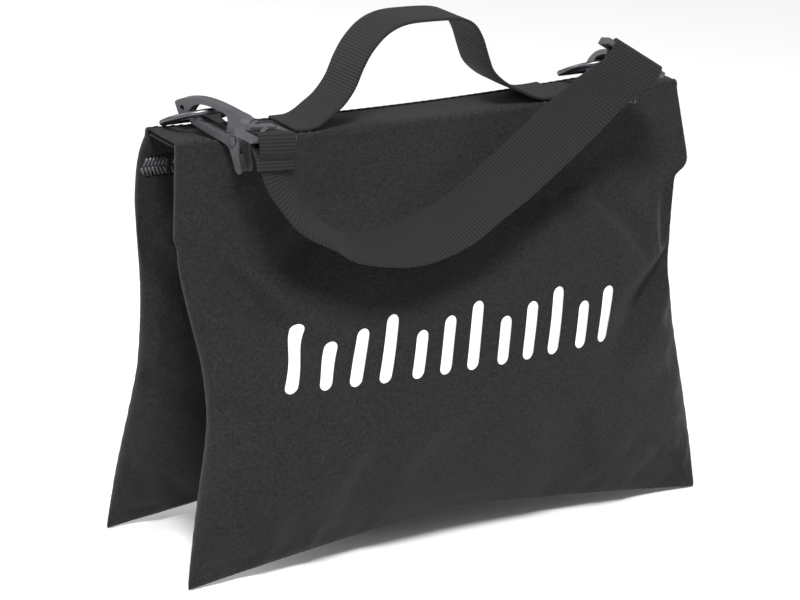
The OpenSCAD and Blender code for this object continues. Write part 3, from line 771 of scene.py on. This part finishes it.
def zip_tape(name, out):
    """Both tapes, each a long strip with a raised cord edge against the coil."""
    bm = bmesh.new()
    for hand in (-1, 1):
        rows = [(3.2, 0), (5.2, 0.2), (6, 0.75), (6.7, 0.7), (7.4, 0), (10.5, -0.1), (12.4, -0.1)]
        made = bmesh.ops.create_grid(bm, x_segments=96, y_segments=len(rows) - 1, size=1)["verts"]
        for v in made:
            away, lift = rows[round((v.co.y + 1) / 2 * (len(rows) - 1))]
            x = v.co.x * (188 if out < 0 else 192)
            ruck = 0.25 * math.sin(x / 7 + hand)
            z = zip_z + hand * away
            room = edge_z(x / 191.5) - 1.5
            v.co = from_pouch(x, tape_y - 0.3 + lift + ruck * 0.3, min(z, room), out)
    bmesh.ops.recalc_face_normals(bm, faces=bm.faces)
    return mesh_piece(name, bm, tape_cloth)


for side, out in (("front", -1), ("rear", 1)):
    chain = zip_chain(f"{side}_coil_turns", out)
    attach(chain, f"{side}_pouch")
    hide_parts(f"{side}_zip_coil")
    tape = zip_tape(f"{side}_woven_tapes", out)
    wall = tape.modifiers.new("tape thickness", "SOLIDIFY")
    wall.thickness, wall.offset = 0.5 * mm, 0
    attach(tape, f"{side}_pouch")
    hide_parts(f"{side}_zip_tapes")
    softened(f"{side}_zip_stops", enamel, 0.3, f"{side}_pouch")
    softened(f"{side}_zip_slider", enamel, 0.4, f"{side}_slider")
    softened(f"{side}_zip_pull", enamel, 0.4, f"{side}_pull")

# ---- Stitching ----
# Bonded black thread in lockstitch, 3.6 mm from stitch to stitch, pulled down into the cloth: a
# row along each edge of the band, and a crossed box under each foot of the handle.

thread_look, tree, shader = material("bonded black thread")
shader.inputs["Roughness"].default_value = 0.5
where = add(tree, "ShaderNodeTexCoord").outputs["Object"]
twist = add(tree, "ShaderNodeTexWave", {"Vector": where, "Scale": turns / (0.8 * mm)},
            bands_direction="DIAGONAL")
colour = add(tree, "ShaderNodeMix", {"Factor": twist.outputs["Fac"], "A": linear("#0c0c0d"),
                                     "B": linear("#1d1d1f")}, data_type="RGBA")
tree.links.new(colour.outputs["Result"], shader.inputs["Base Color"])


def stitches(name, lines, body, radius=0.45):
    """Short threads laid along straight lines of points in mm."""
    long, pitch = 2.6, 3.6
    bm = bmesh.new()
    for line in lines:
        carried = 0
        for a, b in zip(line, line[1:]):
            a, b = Vector(a), Vector(b)
            span = (b - a).length
            if span == 0:
                continue
            way = (b - a) / span
            turn = way.to_track_quat("Z", "Y").to_matrix().to_4x4()
            while carried + long <= span:
                place = Matrix.Translation((a + way * (carried + long / 2)) * mm) @ turn
                bmesh.ops.create_cone(bm, cap_ends=True, segments=6, radius1=radius * mm,
                                      radius2=radius * mm, depth=long * mm, matrix=place)
                carried += pitch
            carried = max(0, carried - span)
    piece = mesh_piece(name, bm, thread_look)
    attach(piece, body)


xs = [x for x in range(-186, 187, 6)]
seam_top = hinge_z + wrap[-1][0] - 0.95
rows = [[(x, y, seam_top - dip(x)) for x in xs] for y in (-19.6, 19.6)]
stitches("band_edge_thread", rows, "saddle", 0.65)
for name, low, high in (("left", -101, -86), ("right", 86, 101)):
    box = [(low, 15), (high, 15), (high, -15), (low, -15), (low, 15), (high, -15), (high, 15), (low, -15)]
    stitches(f"{name}_foot_thread", [[(x, y, band_top_z - dip(x) - 0.55) for x, y in box]], "saddle")

# ---- Printed bars ----
# A row of slanted rounded bars in white flexible print on the lower front, following the cloth.

print_look, tree, shader = material("white flexible print")
shader.inputs["Roughness"].default_value = 0.55
where = add(tree, "ShaderNodeTexCoord").outputs["Object"]
pores = add(tree, "ShaderNodeTexNoise", {"Vector": where, "Scale": 900, "Detail": 2})
colour = add(tree, "ShaderNodeMix", {"Factor": pores.outputs["Fac"], "A": linear("#e2e2e2"),
                                     "B": linear("#f6f6f6")}, data_type="RGBA")
bump = add(tree, "ShaderNodeBump", {"Height": pores.outputs["Fac"], "Strength": 0.2, "Distance": 0.2 * mm})
tree.links.new(colour.outputs["Result"], shader.inputs["Base Color"])
tree.links.new(bump.outputs["Normal"], shader.inputs["Normal"])

front = pouches["front"]
settled = front.evaluated_get(bpy.context.evaluated_depsgraph_get())
skin = BVHTree.FromPolygons([v.co.copy() for v in settled.data.vertices],
                            [tuple(p.vertices) for p in settled.data.polygons])
bar_w, bar_gap, bar_slant = 8.5, 21.5, 0.32
bm = bmesh.new()
for i in range(12):
    tall = (41, 29, 35)[i % 3]
    centre = Vector((-125 + i * bar_gap, 0, 146 - (41 - tall) / 2))
    rows, columns = 28, 6
    for v in bmesh.ops.create_grid(bm, x_segments=columns, y_segments=rows, size=1)["verts"]:
        z = math.sin(v.co.y * math.pi / 2) * tall / 2
        shoulder = max(0, abs(z) - (tall / 2 - bar_w / 2))
        half = math.sqrt(max(0.02, (bar_w / 2) ** 2 - shoulder ** 2))
        x = centre.x + v.co.x * half + z * bar_slant
        hit, *_ = skin.ray_cast(Vector((x, -150, centre.z + z)) * mm, Vector((0, 1, 0)))
        v.co = hit + Vector((0, -0.35, 0.05)) * mm
bmesh.ops.recalc_face_normals(bm, faces=bm.faces)
bars = mesh_piece("printed_bars", bm, print_look)
wall = bars.modifiers.new("print thickness", "SOLIDIFY")
wall.thickness, wall.offset = 0.3 * mm, 0
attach(bars, "front_pouch")
